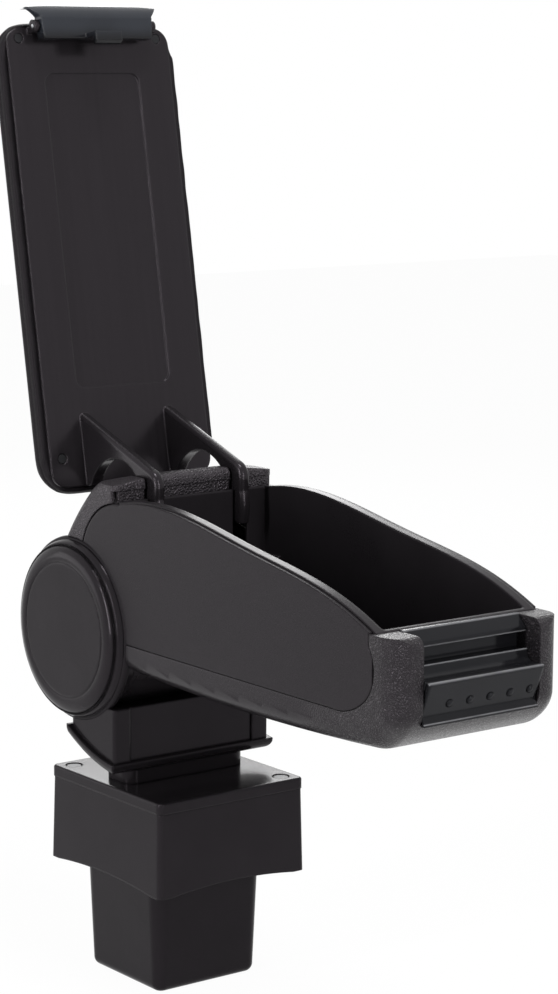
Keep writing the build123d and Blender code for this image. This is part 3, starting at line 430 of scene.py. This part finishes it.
# Cushion: the soft pad on the lid's back, foam under a stretched vinyl cover.
# The cover is sewn along its side, wrapped round the panel's edge and trapped there.
pad_rear, pad_front = 0.0095, 0.2818    # along the lid, from its hinge
pad_half = 0.0602
pad_low = 0.03          # inner border, away from the hinge
pad_edge = 0.0155       # thickness of the foam at its edge
pad_corner = 0.021
pad_round = 0.009       # rounding of the back's edge
pad_wrap = 0.0036       # border round the panel
pad_pocket = 0.0022     # depth of the pocket that the panel lies in
pad_crown = 0.0048      # how far the middle of the back may swell
pad_slack = 0.0003      # how far the rest of the cover may swell
pad_steps = 20          # frames of the simulation
pad_seam = pad_low + 0.0048     # the sewn line round the pad's side
pad_long = pad_front - pad_rear
lid_lean = math.radians(100.3)
lid_hinge = Vector((-0.0082, 0, 0.2752))
lid_frame = Matrix.Translation(lid_hinge) @ Matrix.Rotation(-lid_lean, 4, "Y")


def settle(piece, kind, **settings):
    """Adds a modifier with its settings and applies it."""
    added = piece.modifiers.new(kind.lower(), kind)
    for name, value in settings.items():
        setattr(added, name, value)
    bpy.ops.object.modifier_apply(modifier=added.name)


def pad_room(place):
    """How far the cover may swell at a place: most in the middle of the back."""
    across = min(1, abs(place.y) / pad_half)
    along = min(1, abs(2 * (place.x - pad_rear) / pad_long - 1))
    return pad_crown * (1 - across ** 2.6) * (1 - along ** 9) + pad_slack


pad = block("lid_pad",
            Vector((pad_rear, -pad_half, pad_low)),
            Vector((pad_front, pad_half, pad_low + pad_edge)))
pick(pad, "edges", lambda middle, run: abs(run.z) > pad_edge / 2)
bpy.ops.mesh.bevel(offset=pad_corner, segments=8)
pick(pad, "faces", lambda middle, facing: facing.z > 0.9)
bpy.ops.mesh.bevel(offset=pad_round, segments=6)
pick(pad, "faces", lambda middle, facing: facing.z < -0.9)
bpy.ops.mesh.inset(thickness=pad_wrap)
bpy.ops.mesh.extrude_region_move(TRANSFORM_OT_translate={"value": (0, 0, pad_pocket)})
bpy.ops.object.mode_set(mode="OBJECT")
settle(pad, "REMESH", mode="VOXEL", voxel_size=0.003)

before = [point.co.copy() for point in pad.data.vertices]
held = pad.vertex_groups.new(name="held")
held.add([i for i, place in enumerate(before) if place.z < pad_low + 0.45 * pad_edge], 1.0, "REPLACE")
cover = pad.modifiers.new("cover", "CLOTH")
cover.settings.use_pressure = True
cover.settings.uniform_pressure_force = 20
cover.settings.effector_weights.gravity = 0
cover.settings.vertex_group_mass = "held"
cover.point_cache.frame_end = pad_steps
for step in range(1, pad_steps + 1):
    bpy.context.scene.frame_set(step)
bpy.ops.object.modifier_apply(modifier="cover")
swell = max(point.co.z - place.z for point, place in zip(pad.data.vertices, before))
for point, place in zip(pad.data.vertices, before):
    rise = (point.co.z - place.z) * (1.6 * pad_crown / swell)
    point.co = place + Vector((0, 0, min(rise, pad_room(place))))
bpy.context.scene.frame_set(1)
settle(pad, "SMOOTH", factor=0.5, iterations=4)
settle(pad, "SUBSURF", levels=1, render_levels=1)
for point in pad.data.vertices:
    sidelong = 1 - abs(point.normal.z)
    sewn = math.exp(-((point.co.z - pad_seam) / 0.0009) ** 2) * sidelong
    crease = noise.noise(point.co * 90) * max(0, 1 - abs(point.co.z - pad_low) / 0.008)
    point.co += point.normal * (0.0003 * crease - 0.0008 * sewn)
pad.data.transform(lid_frame)
bpy.ops.object.shade_smooth()

stitch_off = 0.0022     # stitches beyond the sewn line
stitch_pitch = 0.0045
pad_cover, wire = new_finish("pad_cover")
clouds = wire.speckle(0.03)
cells = wire.pebble(0.0012)
pores = wire.speckle(0.0003)
ahead = wire.along("X") - lid_hinge.x
above = wire.along("Z") - lid_hinge.z
off_seam = math.cos(lid_lean) * above - math.sin(lid_lean) * ahead - pad_seam
# The sewn fold: a groove in the normal, and painted shade in the colour, which is darker along the seam's
# crease.
sewn_fold_and_shade = 1 - abs(off_seam).between(0.0002, 0.0007)
pace = wire.sum("FRACT", (wire.along("Z") + wire.along("Y")) / stitch_pitch)
dashes = pace.between(0.15, 0.25) * (1 - pace.between(0.75, 0.85))
thread = (1 - abs(off_seam - stitch_off).between(0.0002, 0.0005)) * dashes
close_finish(wire,
             Base_Color=wire.tint(0.5 * cells + 0.3 * clouds + 0.4 * thread - 0.6 * sewn_fold_and_shade,
                                  (0.006, 0.0053, 0.006), (0.0115, 0.0101, 0.0115)),
             Roughness=0.42 + 0.12 * (1 - cells) + 0.08 * (clouds - 0.5),
             Specular_IOR_Level=0.1,
             Specular_Tint=plum,
             Normal=wire.relief(cells + 0.3 * pores + 2.5 * thread - 3 * sewn_fold_and_shade, 0.00012, 0.6, 0.001))
pad.data.materials.append(pad_cover)
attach(pad, "lid")
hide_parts("lid_cushion")

# Latch: the bowed pull at the lid's front edge, on a pin between two ears, with a coil spring.
# Dark grey satin plastic, a little bluer than the rest. Its upper face is painted lighter and bluer as a
# painted sheen of light from above, and the part below it is painted darker as painted shade.
latch_plastic, wire = new_finish("latch_plastic")
clouds = wire.speckle(0.02)
# Painted sheen and shade: lighter and bluer towards the top of the pull, darker below it, as light from
# above falls on it.
painted_top_light = wire.along("Z").between(0.5365, 0.5455) * (0.8 + 0.4 * clouds)
close_finish(wire,
             Base_Color=wire.tint(painted_top_light, (0.007, 0.007, 0.0085), (0.0205, 0.023, 0.029)),
             Roughness=0.22 + 0.1 * (clouds - 0.5),
             Specular_IOR_Level=0.22,
             Normal=wire.relief(clouds, 0.0001, 0.3, 0.0015))
dress(latch_plastic, "latch_handle")
spring_steel = plated("spring_steel", (0.45, 0.45, 0.46), 0.3)
dress(spring_steel, "latch_spring")
dress(zinc_steel, "latch_pin")

# Camera: at the photograph's point of view, in front of the arm, to one side and a little above.
# Its place, its three angles and its lens were solved together with the armrest's sizes.
eye = Vector((1.283552, -0.904795, 0.535982))
yaw = math.radians(37.38929)
pitch = math.radians(9.27493)
roll = math.radians(0.34767)
back = Vector((math.cos(yaw) * math.cos(pitch), -math.sin(yaw) * math.cos(pitch), math.sin(pitch)))
level = Vector((math.sin(yaw), math.cos(yaw), 0))
upright = back.cross(level)
right = level * math.cos(roll) + upright * math.sin(roll)
up = upright * math.cos(roll) - level * math.sin(roll)
lens = bpy.data.cameras.new("camera")
lens.sensor_width = 36
lens.lens = 100.898
camera = bpy.data.objects.new("camera", lens)
camera.matrix_world = Matrix((
    (right.x, up.x, back.x, eye.x),
    (right.y, up.y, back.y, eye.y),
    (right.z, up.z, back.z, eye.z),
    (0, 0, 0, 1)))
bpy.context.scene.collection.objects.link(camera)
bpy.context.scene.camera = camera

# Studio: two tall strips that draw highlights on the edges, and soft lamps beside, above and behind.
# A pale floor that keeps the shadow, and a white background.
lamp_aim = Vector((0.08, 0, 0.28))    # the middle of the armrest


def lamp(name, place, wide, high, power):
    """A rectangular soft lamp that points at the middle of the armrest."""
    light = bpy.data.lights.new(name, "AREA")
    light.shape = "RECTANGLE"
    light.size = wide
    light.size_y = high
    light.energy = power
    holder = bpy.data.objects.new(name, light)
    holder.location = place
    holder.rotation_euler = (lamp_aim - Vector(place)).to_track_quat("-Z", "Y").to_euler()
    holder.visible_camera = False
    bpy.context.scene.collection.objects.link(holder)


lamp("left_lamp", (-1.3, -1.3, 0.25), 0.9, 0.7, 3)
lamp("left_strip", (0.25, -1.9, 0.75), 0.16, 1.5, 28)
lamp("front_strip", (2.1, 0.1, 0.9), 0.16, 1.6, 22)
lamp("top_lamp", (0.35, 0, 2.0), 0.5, 0.5, 16)
lamp("rear_lamp", (-1.4, 1.0, 1.0), 0.8, 0.8, 10)

bpy.ops.object.select_all(action="DESELECT")
bpy.ops.mesh.primitive_plane_add(size=8)
floor = bpy.context.object
floor.name = "floor"
floor_paper, wire = new_finish("floor_paper")
seen = wire.node("ShaderNodeLightPath", {}, {}, "Is Camera Ray")
mirrored = wire.node("ShaderNodeLightPath", {}, {}, "Is Glossy Ray")
paper = wire.node("ShaderNodeBsdfDiffuse", {}, {"Color": (0.9, 0.9, 0.9, 1)})
glow = wire.node("ShaderNodeEmission", {}, {"Color": (1, 1, 1, 1)})
whitened = wire.node("ShaderNodeMixShader", {}, {0: 0.965 * seen + 0.8 * mirrored, 1: paper, 2: glow})
wire.node("ShaderNodeOutputMaterial", {}, {"Surface": whitened})
floor.data.materials.append(floor_paper)

world = bpy.data.worlds.new("studio")
world.use_nodes = True
world.node_tree.nodes.clear()
bpy.context.scene.world = world
wire = Wire(world.node_tree)
seen = wire.node("ShaderNodeLightPath", {}, {}, "Is Camera Ray")
mirrored = wire.node("ShaderNodeLightPath", {}, {}, "Is Glossy Ray")
through = wire.node("ShaderNodeLightPath", {}, {}, "Is Transmission Ray")
shown = seen + mirrored + through
sky = wire.node("ShaderNodeBackground", {}, {"Color": (1, 1, 1, 1), "Strength": 0.35 + 0.65 * shown})
wire.node("ShaderNodeOutputWorld", {}, {"Surface": sky})
bpy.context.scene.view_settings.view_transform = "Standard"
